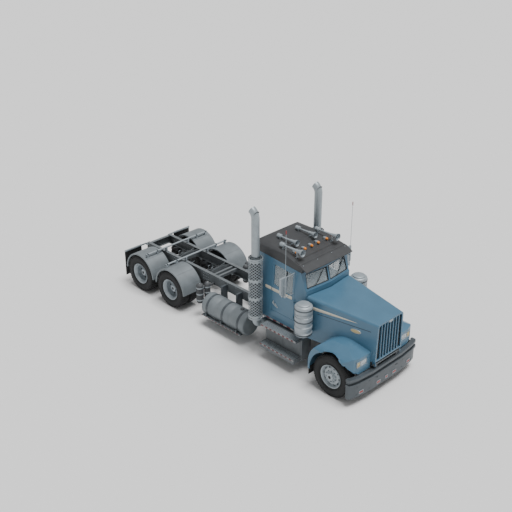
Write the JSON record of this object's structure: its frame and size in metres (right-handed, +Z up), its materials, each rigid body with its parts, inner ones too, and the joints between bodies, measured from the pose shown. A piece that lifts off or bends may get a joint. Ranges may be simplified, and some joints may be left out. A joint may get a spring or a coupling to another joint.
{
  "type": "semi truck tractor unit",
  "caption": "Long-nosed day-cab road tractor with a tilting hood, opening doors, steered front wheels, twin drive wheels, side tanks and tall exhaust stacks.",
  "frame": {"origin": "middle of the ground rectangle that the whole truck covers, at ground level", "axes": "+Z up, -Y to the front of the truck, +X to its left (driver's) side"},
  "size_m": [2.55, 8.49, 3.96],
  "materials": {
    "body_blue": "gloss",
    "roof_black": "satin",
    "frame_grey": "satin",
    "chassis_dark": "satin",
    "fender_grey": "satin",
    "bright": "polished",
    "tyre": "matte",
    "rubber": "matte",
    "glass": "polished",
    "interior": "matte",
    "seat_cloth": "matte",
    "amber": "gloss",
    "mesh": "matte"
  },
  "bodies": {
    "chassis": {"frame_rails": "frame_grey", "crossmembers": "frame_grey", "pivot_member": "frame_grey", "bumper": "frame_grey", "radiator": "chassis_dark", "engine": "chassis_dark", "front_axle": "chassis_dark", "suspension": "chassis_dark", "drive_axles": "chassis_dark", "fuel_tanks": "fender_grey", "tank_straps": "bright", "cab_steps": "frame_grey", "exhaust_stacks": "bright", "heat_shields": "bright", "cab_floor": "body_blue", "cab_shell": "body_blue", "roof_cap": "roof_black", "sun_visor": "roof_black", "cab_glass": "glass", "dashboard": "interior", "seats": "seat_cloth", "air_cleaners": "bright", "air_horns": "bright", "marker_lights": "amber", "drive_fenders": "fender_grey", "fender_brackets": "bright", "mud_flaps": "rubber", "air_tanks": "fender_grey"},
    "tilt_hood": {"hood": "body_blue", "grille": "body_blue", "grille_mesh": "mesh", "front_fenders": "body_blue", "front_flaps": "rubber", "headlights": "glass"},
    "left_door": {"door_left": "body_blue", "door_glass_left": "glass", "mirror_left": "bright"},
    "right_door": {"door_right": "body_blue", "door_glass_right": "glass", "mirror_right": "bright"},
    "left_knuckle": {"knuckle_left": "chassis_dark"},
    "right_knuckle": {"knuckle_right": "chassis_dark"},
    "track_rod": {"tie_rod": "chassis_dark"},
    "hand_wheel": {"steering_wheel": "interior"},
    "front_wheel_left": {"front_rim_left": "bright", "front_tyre_left": "tyre"},
    "front_wheel_right": {"front_rim_right": "bright", "front_tyre_right": "tyre"},
    "drive_wheels_left_1": {"drive_rims_left_1": "bright", "drive_tyres_left_1": "tyre"},
    "drive_wheels_left_2": {"drive_rims_left_2": "bright", "drive_tyres_left_2": "tyre"},
    "drive_wheels_right_1": {"drive_rims_right_1": "bright", "drive_tyres_right_1": "tyre"},
    "drive_wheels_right_2": {"drive_rims_right_2": "bright", "drive_tyres_right_2": "tyre"}
  },
  "joints": [
    {"name": "hood_tilt", "type": "hinge", "parent": "chassis", "child": "tilt_hood", "pos_m": [0, -4.175, 0.85], "axis": [1, 0, 0], "range_deg": [0, 65]},
    {"name": "door_left_swing", "type": "hinge", "parent": "chassis", "child": "left_door", "pos_m": [0.892, -2.044, 1.9], "axis": [0, 0, -1], "range_deg": [0, 70]},
    {"name": "door_right_swing", "type": "hinge", "parent": "chassis", "child": "right_door", "pos_m": [-0.892, -2.044, 1.9], "axis": [0, 0, 1], "range_deg": [0, 70]},
    {"name": "steer_left", "type": "hinge", "parent": "chassis", "child": "left_knuckle", "pos_m": [0.87, -3.5, 0.535], "axis": [0, 0, 1], "range_deg": [-32, 32]},
    {"name": "steer_right", "type": "hinge", "parent": "chassis", "child": "right_knuckle", "pos_m": [-0.87, -3.5, 0.535], "axis": [0, 0, 1], "range_deg": [-32, 32]},
    {"name": "tie_rod_swing", "type": "hinge", "parent": "left_knuckle", "child": "track_rod", "pos_m": [0.87, -3.31, 0.44], "axis": [0, 0, 1], "range_deg": [-32, 32]},
    {"name": "steering_wheel_turn", "type": "hinge", "parent": "chassis", "child": "hand_wheel", "pos_m": [0.43, -1.895, 1.93], "axis": [0, 0.6157, 0.788], "range_deg": [-512, 512]},
    {"name": "front_wheel_left_spin", "type": "hinge", "parent": "left_knuckle", "child": "front_wheel_left", "pos_m": [1.052, -3.5, 0.535], "axis": [1, 0, 0], "continuous": true},
    {"name": "front_wheel_right_spin", "type": "hinge", "parent": "right_knuckle", "child": "front_wheel_right", "pos_m": [-1.052, -3.5, 0.535], "axis": [1, 0, 0], "continuous": true},
    {"name": "drive_wheels_left_1_spin", "type": "hinge", "parent": "chassis", "child": "drive_wheels_left_1", "pos_m": [0.894, 2.255, 0.535], "axis": [1, 0, 0], "continuous": true},
    {"name": "drive_wheels_left_2_spin", "type": "hinge", "parent": "chassis", "child": "drive_wheels_left_2", "pos_m": [0.894, 3.565, 0.535], "axis": [1, 0, 0], "continuous": true},
    {"name": "drive_wheels_right_1_spin", "type": "hinge", "parent": "chassis", "child": "drive_wheels_right_1", "pos_m": [-0.894, 2.255, 0.535], "axis": [1, 0, 0], "continuous": true},
    {"name": "drive_wheels_right_2_spin", "type": "hinge", "parent": "chassis", "child": "drive_wheels_right_2", "pos_m": [-0.894, 3.565, 0.535], "axis": [1, 0, 0], "continuous": true}
  ],
  "couplings": [
    {"joint": "steer_right", "follows": "steer_left", "ratio": 1},
    {"joint": "tie_rod_swing", "follows": "steer_left", "ratio": -1},
    {"joint": "steering_wheel_turn", "follows": "steer_left", "ratio": 16}
  ]
}
